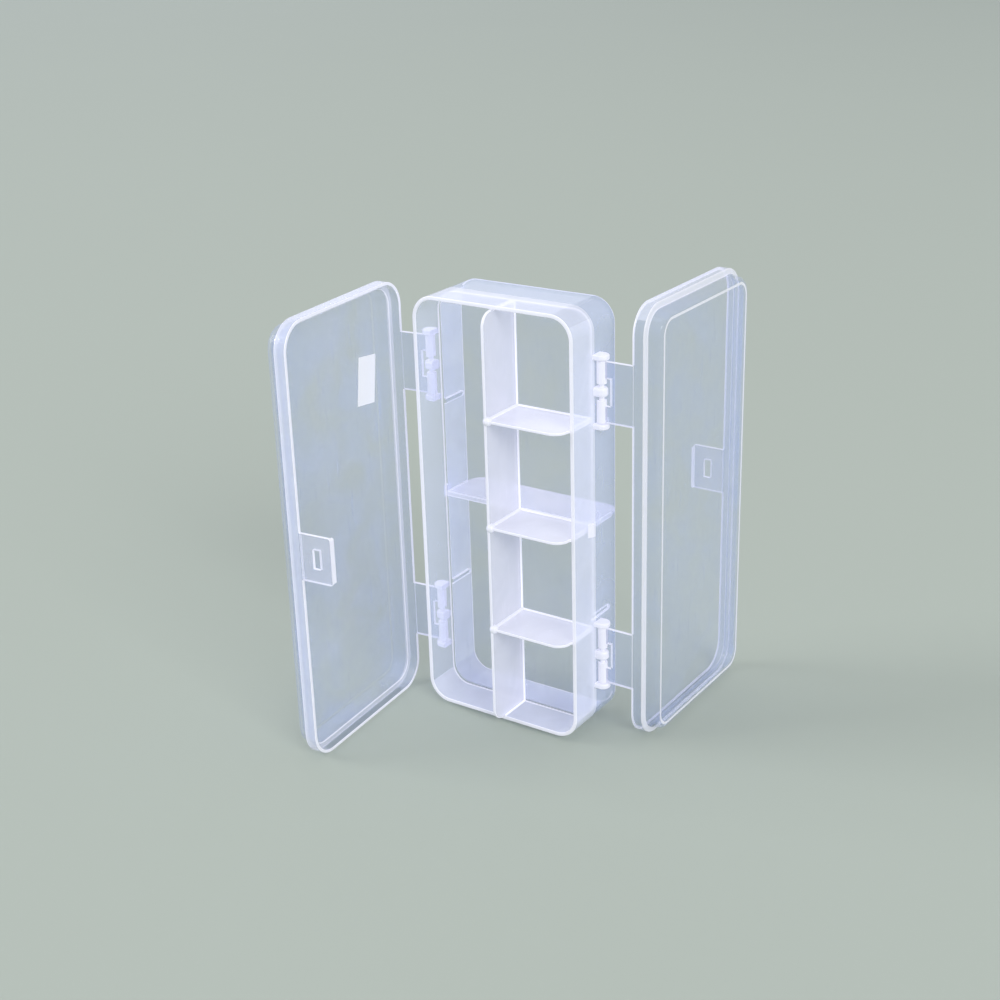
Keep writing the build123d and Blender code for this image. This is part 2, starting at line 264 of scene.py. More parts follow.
class BoxSizes(bpy.types.PropertyGroup):
    rim_rounding: FloatProperty(
        name="Rim rounding",
        description="Radius on the two edges of each wall's rim, in millimetres",
        default=0.5,
        min=0.1,
        max=0.8,
    )
    web_fillet: FloatProperty(
        name="Web fillet",
        description="Radius in the corner between the web and the walls, in millimetres",
        default=0.5,
        min=0.2,
        max=3.0,
    )
    lid_rim_rounding: FloatProperty(
        name="Lid rim rounding",
        description="Radius on the two edges of a lid's rim, in millimetres",
        default=0.35,
        min=0.1,
        max=0.7,
    )
    moulded_edge: FloatProperty(
        name="Moulded edge",
        description="Rounding of the small edges on straps and flaps, in millimetres",
        default=0.3,
        min=0.05,
        max=0.5,
    )
    corner_steps: IntProperty(
        name="Corner steps",
        description="How many flats make up each round corner",
        default=16,
        min=6,
        max=48,
    )


class BoxColours(bpy.types.PropertyGroup):
    clear: FloatVectorProperty(
        name="Clear plastic",
        description="Tint of the clear walls and lids",
        subtype="COLOR",
        default=(0.54, 0.64, 1.0),
        min=0.0,
        max=1.0,
    )
    hazy: FloatVectorProperty(
        name="Hazy plastic",
        description="Tint of the tray walls, the lid skirts and the flaps",
        subtype="COLOR",
        default=(0.78, 0.81, 0.99),
        min=0.0,
        max=1.0,
    )
    inner: FloatVectorProperty(
        name="Inner walls",
        description="Tint of the tray walls on the inside",
        subtype="COLOR",
        default=(0.66, 0.73, 1.0),
        min=0.0,
        max=1.0,
    )
    milky: FloatVectorProperty(
        name="Milky plastic",
        description="Tint of the tall divider",
        subtype="COLOR",
        default=(0.91, 0.91, 1.0),
        min=0.0,
        max=1.0,
    )
    # On rims and cut edges this near-white tint, with a near-solid body and painted glow, paints the light
    # they gather; the shelves and hinges have it as their milky colour.
    edge: FloatVectorProperty(
        name="Edge",
        description="Tint of the rims and cut edges, which gather light, and of the shelves and hinges",
        subtype="COLOR",
        default=(0.90, 0.90, 0.975),
        min=0.0,
        max=1.0,
    )
    label: FloatVectorProperty(
        name="Label",
        description="Colour of the paper label",
        subtype="COLOR",
        default=(0.949, 0.949, 0.949),
        min=0.0,
        max=1.0,
    )
    floor: FloatVectorProperty(
        name="Floor",
        description="Colour of the floor and the air behind it",
        subtype="COLOR",
        default=(0.45, 0.50, 0.43),
        min=0.0,
        max=1.0,
    )


def sizes():
    """The sizes that a user can change."""
    return bpy.context.scene.storage_box_sizes


def colours():
    """The colours that a user can change."""
    return bpy.context.scene.storage_box_colours


# Materials


def new_group(name, inputs, outputs):
    """A shader node group of plain values, and its input and output nodes."""
    group = bpy.data.node_groups.new(name, "ShaderNodeTree")
    for label, value in inputs.items():
        socket = group.interface.new_socket(name=label, in_out="INPUT", socket_type="NodeSocketFloat")
        socket.default_value = value
    for label in outputs:
        group.interface.new_socket(name=label, in_out="OUTPUT", socket_type="NodeSocketFloat")
    return group, group.nodes.new("NodeGroupInput"), group.nodes.new("NodeGroupOutput")


def moulding_group():
    """Slow waves of the mould's flow, fine grain, and the scuffs of handling."""
    group = bpy.data.node_groups.get("moulded_surface")
    if group:
        return group
    group, given, made = new_group("moulded_surface", {"Scuffs": 0.3}, ("Flow", "Scuff", "Height"))
    nodes, links = group.nodes, group.links
    place = nodes.new("ShaderNodeTexCoord")

    flow = nodes.new("ShaderNodeTexNoise")
    flow.inputs["Scale"].default_value = FLOW_SCALE
    flow.inputs["Detail"].default_value = 3.0
    flow.inputs["Distortion"].default_value = 0.6
    links.new(place.outputs["Object"], flow.inputs["Vector"])

    stretch = nodes.new("ShaderNodeMapping")
    stretch.inputs["Scale"].default_value = (1.0, 1.0, 0.12)
    stretch.inputs["Rotation"].default_value = (0.35, 0.2, 0.0)
    links.new(place.outputs["Object"], stretch.inputs["Vector"])
    scratches = nodes.new("ShaderNodeTexNoise")
    scratches.inputs["Scale"].default_value = SCRATCH_SCALE
    scratches.inputs["Detail"].default_value = 4.0
    links.new(stretch.outputs["Vector"], scratches.inputs["Vector"])
    thin = nodes.new("ShaderNodeMapRange")
    thin.inputs["From Min"].default_value, thin.inputs["From Max"].default_value = SCRATCH_RANGE
    links.new(scratches.outputs["Fac"], thin.inputs["Value"])
    scuff = nodes.new("ShaderNodeMath")
    scuff.operation = "MULTIPLY"
    links.new(thin.outputs["Result"], scuff.inputs[0])
    links.new(given.outputs["Scuffs"], scuff.inputs[1])

    grain = nodes.new("ShaderNodeTexNoise")
    grain.inputs["Scale"].default_value = GRAIN_SCALE
    grain.inputs["Detail"].default_value = 2.0
    links.new(place.outputs["Object"], grain.inputs["Vector"])
    height = nodes.new("ShaderNodeMath")
    height.operation = "MULTIPLY_ADD"
    links.new(grain.outputs["Fac"], height.inputs[0])
    height.inputs[1].default_value = GRAIN_HEIGHT
    links.new(flow.outputs["Fac"], height.inputs[2])

    links.new(flow.outputs["Fac"], made.inputs["Flow"])
    links.new(scuff.outputs["Value"], made.inputs["Scuff"])
    links.new(height.outputs["Value"], made.inputs["Height"])
    return group


def plastics(*names):
    """The plastics of these names, as FINISHES describes them."""
    return [bpy.data.materials.get(name) or plastic(name, **FINISHES[name]) for name in names]


def plastic(name, tint, body, transmission, roughness, cloud=0.02, scuffs=0.3, behind=1.0, painted_glow=0.0):
    """Moulded plastic that catches part of the light and lets the rest through, with a painted glow and a
    painted reflection on its outsides.
    """
    tint = getattr(colours(), tint)
    material = bpy.data.materials.new(name)
    material.use_nodes = True
    nodes, links = material.node_tree.nodes, material.node_tree.links
    surface = nodes["Principled BSDF"]
    surface.inputs["IOR"].default_value = PLASTIC_IOR
    surface.inputs["Transmission Weight"].default_value = transmission
    detail = nodes.new("ShaderNodeGroup")
    detail.node_tree = moulding_group()
    detail.inputs["Scuffs"].default_value = scuffs

    colour = nodes.new("ShaderNodeMix")
    colour.data_type = "RGBA"
    colour.inputs["A"].default_value = (*[c * (1 - TINT_DRIFT) for c in tint], 1.0)
    colour.inputs["B"].default_value = (*[min(1.0, c * (1 + TINT_DRIFT)) for c in tint], 1.0)
    links.new(detail.outputs["Flow"], colour.inputs["Factor"])
    links.new(colour.outputs["Result"], surface.inputs["Base Color"])

    rough = nodes.new("ShaderNodeMath")
    rough.operation = "MULTIPLY_ADD"
    rough.inputs[1].default_value = SCUFF_ROUGHNESS
    rough.inputs[2].default_value = roughness
    links.new(detail.outputs["Scuff"], rough.inputs[0])
    links.new(rough.outputs["Value"], surface.inputs["Roughness"])

    # Painted glow: emission in the plastic's own tint, which paints light into the piece.
    surface.inputs["Emission Color"].default_value = (*tint, 1.0)
    surface.inputs["Emission Strength"].default_value = painted_glow

    smear = nodes.new("ShaderNodeMapRange")
    smear.inputs["From Min"].default_value, smear.inputs["From Max"].default_value = FLOW_RANGE
    smear.inputs["To Min"].default_value = body - cloud
    smear.inputs["To Max"].default_value = body + cloud
    links.new(detail.outputs["Flow"], smear.inputs["Value"])
    catch = nodes.new("ShaderNodeMath")
    catch.operation = "MULTIPLY_ADD"
    catch.inputs[1].default_value = SCUFF_CATCH
    links.new(detail.outputs["Scuff"], catch.inputs[0])
    links.new(smear.outputs["Result"], catch.inputs[2])
    # A face seen from behind keeps only the behind share of its body: a painted reflection of the sky that
    # makes the outsides of walls and skirts hazier than their insides.
    side = nodes.new("ShaderNodeNewGeometry")
    share = nodes.new("ShaderNodeMapRange")
    share.inputs["To Min"].default_value = 1.0
    share.inputs["To Max"].default_value = behind
    links.new(side.outputs["Backfacing"], share.inputs["Value"])
    caught = nodes.new("ShaderNodeMath")
    caught.operation = "MULTIPLY"
    links.new(catch.outputs["Value"], caught.inputs[0])
    links.new(share.outputs["Result"], caught.inputs[1])
    links.new(caught.outputs["Value"], surface.inputs["Alpha"])

    relief = nodes.new("ShaderNodeBump")
    relief.inputs["Strength"].default_value = RELIEF_STRENGTH
    relief.inputs["Distance"].default_value = RELIEF_DISTANCE
    links.new(detail.outputs["Height"], relief.inputs["Height"])
    links.new(relief.outputs["Normal"], surface.inputs["Normal"])
    return material


def label_paper():
    """Plain matt paper."""
    material = bpy.data.materials.new("plain_paper")
    material.use_nodes = True
    surface = material.node_tree.nodes["Principled BSDF"]
    surface.inputs["Base Color"].default_value = (*colours().label, 1.0)
    surface.inputs["Roughness"].default_value = PAPER_ROUGHNESS
    return material


def floor_finish():
    """Plain pale floor, with a faint unevenness."""
    material = bpy.data.materials.new("floor_pale")
    material.use_nodes = True
    nodes, links = material.node_tree.nodes, material.node_tree.links
    surface = nodes["Principled BSDF"]
    surface.inputs["Roughness"].default_value = FLOOR_ROUGHNESS
    surface.inputs["Specular IOR Level"].default_value = FLOOR_GLOSS
    place = nodes.new("ShaderNodeTexCoord")
    cloud = nodes.new("ShaderNodeTexNoise")
    cloud.inputs["Scale"].default_value = FLOOR_CLOUD_SCALE
    links.new(place.outputs["Object"], cloud.inputs["Vector"])
    colour = nodes.new("ShaderNodeMix")
    colour.data_type = "RGBA"
    pale = colours().floor
    colour.inputs["A"].default_value = (*[c * (1 - FLOOR_DRIFT) for c in pale], 1.0)
    colour.inputs["B"].default_value = (*pale, 1.0)
    links.new(cloud.outputs["Fac"], colour.inputs["Factor"])
    links.new(colour.outputs["Result"], surface.inputs["Base Color"])
    return material


# Mesh tools


def round_rectangle(half_width, half_height, radius, y, stops=()):
    """Points round an upright rectangle with round corners, and on its sides at the heights in stops."""
    steps = sizes().corner_steps
    low, high = MIDDLE_Z - half_height + radius, MIDDLE_Z + half_height - radius
    rising = [z for z in sorted(stops) if low < z < high]
    points = []
    for quarter, (side, end) in enumerate(((1, 1), (-1, 1), (-1, -1), (1, -1))):
        centre_x, centre_z = side * (half_width - radius), MIDDLE_Z + end * (half_height - radius)
        for i in range(steps + 1):
            angle = math.pi / 2 * (quarter + i / steps)
            across, up = radius * math.cos(angle), radius * math.sin(angle)
            points.append(Vector((centre_x + across, y, centre_z + up)))
        if quarter == 1:
            points += [Vector((-half_width, y, z)) for z in reversed(rising)]
        if quarter == 3:
            points += [Vector((half_width, y, z)) for z in rising]
    return points


def arc(centre, radius, start, end, steps):
    """Points of an arc in a section, in degrees."""
    angles = [math.radians(start + (end - start) * i / steps) for i in range(steps + 1)]
    return [(centre[0] + radius * math.cos(a), centre[1] + radius * math.sin(a)) for a in angles]


def lay(name, points, faces, finishes, kinds=None):
    """A mesh object in millimetres, with one finish number for each face."""
    mesh = bpy.data.meshes.new(name)
    mesh.from_pydata([tuple(p) for p in points], [], faces)
    for finish in finishes:
        mesh.materials.append(finish)
    if kinds:
        mesh.polygons.foreach_set("material_index", kinds)
    shape = bmesh.new()
    shape.from_mesh(mesh)
    bmesh.ops.recalc_face_normals(shape, faces=shape.faces)
    shape.to_mesh(mesh)
    shape.free()
    mesh.shade_smooth()
    mesh.set_sharp_from_angle(angle=SMOOTH_ANGLE)
    piece = bpy.data.objects.new(name, mesh)
    bpy.context.scene.collection.objects.link(piece)
    return piece


def skin(name, loops, kinds, finishes):
    """A closed solid through loops of equal count. Kinds holds the first cap, each band and the last cap."""
    count = len(loops[0])
    points = [point for loop in loops for point in loop]
    faces, numbers = [tuple(range(count))], [kinds[0]]
    for band in range(len(loops) - 1):
        start, after = band * count, (band + 1) * count
        for i in range(count):
            j = (i + 1) % count
            faces.append((start + i, start + j, after + j, after + i))
            kind = kinds[band + 1]
            numbers.append(kind(points[start + i], points[start + j]) if callable(kind) else kind)
    last = (len(loops) - 1) * count
    faces.append(tuple(range(last, last + count)))
    numbers.append(kinds[-1])
    return lay(name, points, faces, finishes, numbers)


def prism_faces(count):
    """The faces between two rings of this many points, and over both ends."""
    sides = [(i, (i + 1) % count, count + (i + 1) % count, count + i) for i in range(count)]
    return [tuple(range(count)), tuple(range(count, 2 * count))] + sides


def extrusion(name, outline, axis, start, end, finishes, kind, side=None):
    """A solid from a flat outline, in depth and height along X, or in width and depth along Z."""
    def place(a, b, along):
        return Vector((along, a, b)) if axis == "X" else Vector((a, b, along))

    count = len(outline)
    points = [place(a, b, start) for a, b in outline] + [place(a, b, end) for a, b in outline]
    kinds = [kind] * 2 + [kind if side is None else side] * count
    return lay(name, points, prism_faces(count), finishes, kinds)


def settle(piece):
    """Turn the piece's modifiers into its own mesh."""
    graph = bpy.context.evaluated_depsgraph_get()
    mesh = bpy.data.meshes.new_from_object(piece.evaluated_get(graph), depsgraph=graph)
    old = piece.data
    piece.modifiers.clear()
    piece.data = mesh
    bpy.data.meshes.remove(old)
    mesh.name = piece.name


def round_edges(piece, width, kind, angle=40.0):
    """Round the sharp edges, and give the roundings a finish of their own."""
    rounding = piece.modifiers.new("rounding", "BEVEL")
    rounding.width = width
    rounding.segments = 2
    rounding.limit_method = "ANGLE"
    rounding.angle_limit = math.radians(angle)
    rounding.material = kind
    rounding.use_clamp_overlap = True
    settle(piece)


def cut_or_join(piece, others, operation):
    """Join other solids to the piece, or cut them out of it."""
    for other in others:
        step = piece.modifiers.new("step", "BOOLEAN")
        step.operation = operation
        step.solver = "EXACT"
        step.object = other
        settle(piece)
        bpy.data.objects.remove(other)


def even_shading(piece):
    """Smooth shading in which the flat faces stay flat."""
    piece.data.shade_smooth()
    piece.data.set_sharp_from_angle(angle=SMOOTH_ANGLE)
    weighted = piece.modifiers.new("even_shading", "WEIGHTED_NORMAL")
    weighted.keep_sharp = True
    weighted.weight = 60
    settle(piece)


def finish_piece(piece, body, nodes, turn=None):
    """Scale the piece to metres, turn it to its place, and hang it on its body in place of CAD nodes."""
    if turn is not None:
        piece.data.transform(turn)
    piece.data.transform(Matrix.Scale(MM, 4))
    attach(piece, body)
    if nodes:
        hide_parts(*nodes)


def opened(angle, back):
    """The turn from the closed front lid to where a lid stands."""
    hinge = Vector((-HINGE_X, -HINGE_Y, 0.0))
    turn = Matrix.Translation(hinge) @ Matrix.Rotation(-angle, 4, "Z") @ Matrix.Translation(-hinge)
    return Matrix.Rotation(math.pi, 4, "Z") @ turn if back else turn


def repaint(node, finish):
    """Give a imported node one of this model's materials."""
    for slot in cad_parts[node].material_slots:
        slot.material = finish


# Box body


def body_section():
    """The body's section from the web's front face round the rims to its back face, as insets and depths."""
    rim, fillet, web = sizes().rim_rounding, sizes().web_fillet, WEB_THICKNESS / 2
    inner = arc((BOX_WALL + fillet, web + fillet), fillet, 270, 180, FILLET_STEPS)
    inner += [(BOX_WALL, RIM_Y - rim - RIM_BAND)] + arc((BOX_WALL - rim, RIM_Y - rim), rim, 0, 90, RIM_STEPS)
    outer = arc((rim, RIM_Y - rim), rim, 90, 180, RIM_STEPS)
    front = [(inset, -depth) for inset, depth in inner + outer]
    return front + [(0.0, 0.0)] + [(inset, -y) for inset, y in reversed(front)]


def build_body():
    """The four walls and the web as one moulding, with the ribs of the back tray."""
    section = body_section()
    finishes = plastics(
        "wall_outside_blue", "web_clear", "rim_edge_bright", "tray_outside_hazy",
        "wall_inside_clear", "far_edge_bright", "back_inside_clear", "tray_top_hazy",
    )
    loops = []
    for inset, y in section:
        loops.append(round_rectangle(WALL_X - inset, BOX_HEIGHT / 2 - inset, BOX_CORNER_RADIUS - inset, y))

    # Lit and shaded copies of one plastic: the low faces and the back rims seen through the box lie in shade
    # and take finishes with more painted glow, while the top strip of the front outside, lit most, takes one
    # with less.
    def is_low(a, b):
        return max(a.z, b.z) < BOTTOM_ZONE

    def is_far(a, b):
        return max(a.x, b.x) < LEFT_ZONE - WALL_X or is_low(a, b)

    def back_rim_inside(a, b):
        return FAR_RIM if is_far(a, b) else INSIDE

    def back_rim_outside(a, b):
        return WALL if is_far(a, b) else FAR_RIM

    def front_inside(a, b):
        return TRAY if is_low(a, b) else INSIDE

    def front_outside(a, b):
        return TRAY_TOP if min(a.z, b.z) > BOX_HEIGHT - TOP_ZONE else TRAY

    def back_tray_inside(a, b):
        return TRAY if is_low(a, b) else BACK_INSIDE

    kinds = [WEB]
    web_foot, rim_foot = WEB_THICKNESS / 2 + sizes().web_fillet + NEAR, RIM_Y - sizes().rim_rounding - NEAR
    for (inset_a, y_a), (inset_b, y_b) in zip(section, section[1:]):
        shallow, deep = sorted((abs(y_a), abs(y_b)))
        front, inner = y_a + y_b < -NEAR, inset_a + inset_b > BOX_WALL
        at_rim = y_a * y_b > 0 and shallow > rim_foot
        if at_rim and front:
            kinds.append(RIM)
        elif inner and (at_rim or (y_a > 0 and shallow > rim_foot - RIM_BAND)):
            kinds.append(back_rim_inside)
        elif at_rim:
            kinds.append(WALL if shallow > RIM_Y - NEAR else back_rim_outside)
        elif inner:
            kinds.append(RIM if deep < web_foot else front_inside if front else back_tray_inside)
        else:
            kinds.append(front_outside if front else WALL)
    kinds.append(WEB)
    body = skin("box_body", loops, kinds, finishes)
    ribs = []
    half, end = RIB_WIDTH / 2, RIB_LENGTH + WEB_THICKNESS / 2 - RIB_WIDTH / 2
    for z in (MIDDLE_Z - RIB_FROM_MIDDLE, MIDDLE_Z + RIB_FROM_MIDDLE):
        outline = arc((end, z), half, -90, 90, 10) + [(0.0, z + half), (0.0, z - half)]
        for side in (-1, 1):
            foot, face = side * (INNER_X + RIB_SUNK), side * (INNER_X - RIB_PROUD)
            rib = extrusion("rib", outline, "X", foot, face, finishes, INSIDE, FAR_RIM)
            round_edges(rib, RIB_ROUNDING, FAR_RIM)
            ribs.append(rib)
    cut_or_join(body, ribs, "UNION")
    even_shading(body)
    finish_piece(body, "box", ["box_shell"])


# Divider and shelves


def rounded_plate(name, outline, axis, middle, finishes, is_free):
    """A plate with rounded edges. The outline takes an inset, and free edges get the bright finish."""
    half, rounding = DIVIDER_THICKNESS / 2, DIVIDER_ROUNDING
    angles = [math.pi / 2 * i / RIM_STEPS for i in range(RIM_STEPS + 1)]
    across = [(-half + rounding - rounding * math.cos(a), rounding - rounding * math.sin(a)) for a in angles]
    across += [(-offset, inset) for offset, inset in reversed(across)]

    def place(a, b, along):
        return Vector((middle + along, a, b)) if axis == "X" else Vector((a, b, middle + along))

    def edge(a, b):
        return PLATE_EDGE if is_free(a) and is_free(b) else PLATE

    loops = [[place(a, b, offset) for a, b in outline(inset)] for offset, inset in across]
    plate = skin(name, loops, [PLATE] + [edge] * (len(loops) - 1) + [PLATE], finishes)
    even_shading(plate)
    return plate


def build_divider():
    """The tall divider of the front tray, with a round-ended post at each shelf."""
    # The posts and knobs take the hinge plastic with its painted glow.
    finishes = plastics("divider_milky", "rim_edge_bright", "hinge_milky")
    low, high = INNER_BOTTOM, INNER_TOP

    def outline(inset):
        front, radius, root = -(DIVIDER_Y - inset), DIVIDER_CORNER_RADIUS - inset, SUNK - WEB_THICKNESS / 2
        points = [(root, low - SUNK), (root, high + SUNK), (-RIM_Y, high + SUNK)]
        points += arc((front + radius, high - DIVIDER_CORNER_RADIUS), radius, 90, 180, DIVIDER_STEPS)
        points += arc((front + radius, low + DIVIDER_CORNER_RADIUS), radius, 180, 270, DIVIDER_STEPS)
        return points + [(-RIM_Y, low - SUNK)]

    plate = rounded_plate("divider_plate", outline, "X", TALL_DIVIDER_X, finishes, lambda p: p.y < -PAST_RIM_Y)
    for z in SHELF_HEIGHTS:
        cut_or_join(plate, build_post(z, finishes), "UNION")
    even_shading(plate)
    finish_piece(plate, "box", ["tall_divider"])


def build_post(z, finishes):
    """Half of a round bar along the foot of a shelf, and the ball at its front end."""
    root_x = FACE_X - POST_SUNK
    ring = arc((FACE_X, z), POST_RADIUS, -90, 90, 16) + [(root_x, z + POST_RADIUS), (root_x, z - POST_RADIUS)]
    ends = (WEB_THICKNESS / 2, DIVIDER_Y - KNOB_RADIUS)
    bar = [[Vector((a, -depth, b)) for a, b in ring] for depth in ends]
    middle_y, last_side = DIVIDER_Y + KNOB_PROUD - KNOB_RADIUS, 360 - 360 / KNOB_SIDES
    ball = []
    for i in range(KNOB_STEPS + 1):
        turn = math.pi * (i + 0.02) / (KNOB_STEPS + 0.04)
        depth, radius = middle_y - KNOB_RADIUS * math.cos(turn), KNOB_RADIUS * math.sin(turn)
        circle = arc((FACE_X + KNOB_OFFSET, z), radius, 0, last_side, KNOB_SIDES - 1)
        ball.append([Vector((a, -depth, b)) for a, b in circle])
    return skin("post", bar, [POST] * 3, finishes), skin("knob", ball, [POST] * (KNOB_STEPS + 2), finishes)


def build_front_shelf(name, node, z):
    """A shelf of the front tray, from the divider to the right wall."""
    finishes = plastics("shelf_milky", "rim_edge_bright")

    def outline(inset):
        front, radius = -(DIVIDER_Y - inset), DIVIDER_CORNER_RADIUS - inset
        corner, end, root = INNER_X - DIVIDER_CORNER_RADIUS, INNER_X + SUNK, SUNK - WEB_THICKNESS / 2
        points = [(end, root), (FACE_X, root), (FACE_X, front + SHELF_NICK), (FACE_X + SHELF_NICK, front)]
        return points + arc((corner, front + radius), radius, -90, 0, DIVIDER_STEPS) + [(end, -RIM_Y)]

    plate = rounded_plate(name, outline, "Z", z, finishes, lambda p: p.y < -PAST_RIM_Y or p.x > INNER_X)
    finish_piece(plate, "box", [node])


def build_back_shelf():
    """The one shelf of the back tray."""
    finishes = plastics("shelf_milky", "rim_edge_bright")

    def outline(inset):
        back, radius = DIVIDER_Y - inset, DIVIDER_CORNER_RADIUS - inset
        corner, end, root = INNER_X - DIVIDER_CORNER_RADIUS, INNER_X + SUNK, WEB_THICKNESS / 2 - SUNK
        points = [(-end, root), (end, root), (end, RIM_Y)]
        points += arc((corner, back - radius), radius, 0, 90, DIVIDER_STEPS)
        return points + arc((-corner, back - radius), radius, 90, 180, DIVIDER_STEPS) + [(-end, RIM_Y)]

    def is_free(point):
        return point.y > PAST_RIM_Y or abs(point.x) > INNER_X

    plate = rounded_plate("back_shelf_plate", outline, "Z", MIDDLE_Z, finishes, is_free)
    finish_piece(plate, "box", ["back_shelf"])


def cove(start, end, towards_a, towards_b):
    """The points and faces of a hollow fillet along a corner, its two legs on the surfaces that meet there."""
    a, b, leg = Vector(towards_a), Vector(towards_b), FILLET_LEG
    ring = [-FILLET_SUNK * a - FILLET_SUNK * b, leg * a - FILLET_SUNK * b]
    for i in range(FILLET_STEPS + 1):
        angle = math.pi / 2 * i / FILLET_STEPS
        ring.append(leg * (1 - math.sin(angle)) * a + leg * (1 - math.cos(angle)) * b)
    ring.append(leg * b - FILLET_SUNK * a)
    points = [Vector(end_point) + offset for end_point in (start, end) for offset in ring]
    return points, prism_faces(len(ring))


def build_fillets():
    """The small fillets where the divider and the shelves grow out of the web and the walls."""
    half, web, rim = DIVIDER_THICKNESS / 2, WEB_THICKNESS / 2, RIM_Y - FILLET_SHORT
    corners = []
    for side in (-1, 1):
        x = TALL_DIVIDER_X + side * half
        levels = [z for level in SHELF_HEIGHTS for z in (level - half, level + half)] if side > 0 else []
        stops = [INNER_BOTTOM, *levels, INNER_TOP]
        for z_from, z_to in zip(stops[::2], stops[1::2]):
            corners.append(((x, -web, z_from), (x, -web, z_to), (side, 0, 0), (0, -1, 0)))
        for z, up in ((INNER_BOTTOM, 1), (INNER_TOP, -1)):
            corners.append(((x, -web, z), (x, -rim, z), (side, 0, 0), (0, 0, up)))
    for level in SHELF_HEIGHTS:
        for side in (-1, 1):
            z = level + side * half
            corners.append(((FACE_X, -web, z), (INNER_X, -web, z), (0, 0, side), (0, -1, 0)))
            corners.append(((INNER_X, -web, z), (INNER_X, -rim, z), (-1, 0, 0), (0, 0, side)))
    for side in (-1, 1):
        z = MIDDLE_Z + side * half
        corners.append(((-INNER_X, web, z), (INNER_X, web, z), (0, 0, side), (0, 1, 0)))
        for end in (-1, 1):
            corners.append(((end * INNER_X, web, z), (end * INNER_X, rim, z), (-end, 0, 0), (0, 0, side)))
    points, faces = [], []
    for corner in corners:
        more_points, more_faces = cove(*corner)
        faces += [tuple(i + len(points) for i in face) for face in more_faces]
        points += more_points
    # The fillets take the far edge finish, whose painted glow lights them in the shade of the joints.
    fillets = lay("root_fillets", points, faces, plastics("far_edge_bright"))
    finish_piece(fillets, "box", [])


# Lids and their latch flaps


def lid_section():
    """A lid's section from outside its panel round the rim to the inside, as insets, depths and finishes."""
    slope, rim, steps = math.tan(PANEL_DRAFT), sizes().lid_rim_rounding, RIM_STEPS

    def panel_edge(depth, inset_at_shoulder, radius):
        corner = inset_at_shoulder + (depth - SHOULDER_Y + LID_WALL) * slope
        tangent = radius * math.tan((math.pi / 2 - PANEL_DRAFT) / 2)
        return arc((corner + tangent, depth - radius), radius, 90, 180 - math.degrees(PANEL_DRAFT), 8)

    def marked(points, finish):
        return [(inset, depth, finish) for inset, depth in points]

    root, ledge, foot = LEDGE_WIDTH + LID_WALL * slope, SHOULDER_Y - LID_WALL, LEDGE_WIDTH + LID_WALL
    shoulder, rim_y = SHOULDER_Y - SHOULDER_ROUNDING, LID_RIM_Y + rim
    edge = panel_edge(PANEL_Y, LEDGE_WIDTH, PANEL_EDGE_RADIUS)
    outer = [(edge[0][0] + PANEL_BORDER, PANEL_Y, LID_BORDER)] + marked(edge, LID_PANEL)
    # The soft finish here and at the ledge's foot paints bright lines of light along them.
    outer += marked([(root + 0.4 * slope, SHOULDER_Y + 0.4), (root - 0.1, SHOULDER_Y + 0.1)], LID_SOFT)
    outer += marked([(root - 0.35, SHOULDER_Y)], LID_SOFT)
    outer += marked(arc((SHOULDER_ROUNDING, shoulder), SHOULDER_ROUNDING, 90, 180, steps)[:-1], LID_SOFT)
    outer += [(0.0, shoulder, LID_OUTSIDE), (0.0, rim_y + RIM_BAND, LID_BAND)]
    outer += marked(arc((rim, rim_y), rim, 180, 270, steps), LID_BRIGHT)
    inner = marked(arc((LID_WALL - rim, rim_y), rim, -90, 0, steps)[:-1], LID_BRIGHT)
    inner += marked([(LID_WALL, rim_y), (LID_WALL, ledge - 0.3)], LID_SKIRT)
    inner += marked([(LID_WALL + 0.08, ledge - 0.08), (LID_WALL + 0.3, ledge)], LID_SKIRT)
    inner += marked([(foot - 0.35, ledge), (foot - 0.1, ledge + 0.1)], LID_SOFT)
    inner += marked([(foot + 0.35 * slope, ledge + 0.35)], LID_PANEL)
    inner += marked(panel_edge(PANEL_Y - LID_WALL, foot, PANEL_EDGE_RADIUS - LID_WALL / 2)[::-1], LID_PANEL)
    return outer + inner


def strap_plate(z, finishes):
    """The flat part of a hinge strap with its notch."""
    top, notch = STRAP_HEIGHT / 2, NOTCH_HEIGHT / 2
    end, inner_end, root = -(HINGE_Y + STRAP_PAST_PIN), -(HINGE_Y + NOTCH_LENGTH), -(LID_RIM_Y + STRAP_SUNK)
    outline = [
        (root, z - top), (end, z - top), (end, z - notch), (inner_end, z - notch),
        (inner_end, z + notch), (end, z + notch), (end, z + top), (root, z + top),
    ]
    plate = extrusion("strap", outline, "X", -LID_OUTER_X, -LID_INNER_X, finishes, LID_SKIRT, LID_BRIGHT)
    round_edges(plate, sizes().moulded_edge, LID_BRIGHT)
    return plate


def knuckle(z_from, z_to, finishes):
    """A round knuckle with a mouth that snaps over the pin."""
    outer = 90 - math.degrees(math.asin(MOUTH / 2 / KNUCKLE_RADIUS))
    inner = 90 - math.degrees(math.asin(MOUTH / 2 / BORE_RADIUS))
    centre = (-HINGE_X, -HINGE_Y)
    outline = arc(centre, KNUCKLE_RADIUS, outer, -180 - outer, 40)
    outline += arc(centre, BORE_RADIUS, -180 - inner, inner, 28)
    shell = extrusion("knuckle", outline, "Z", z_from, z_to, finishes, LID_KNUCKLE)
    round_edges(shell, KNUCKLE_ROUNDING, LID_BRIGHT, angle=50.0)
    return shell


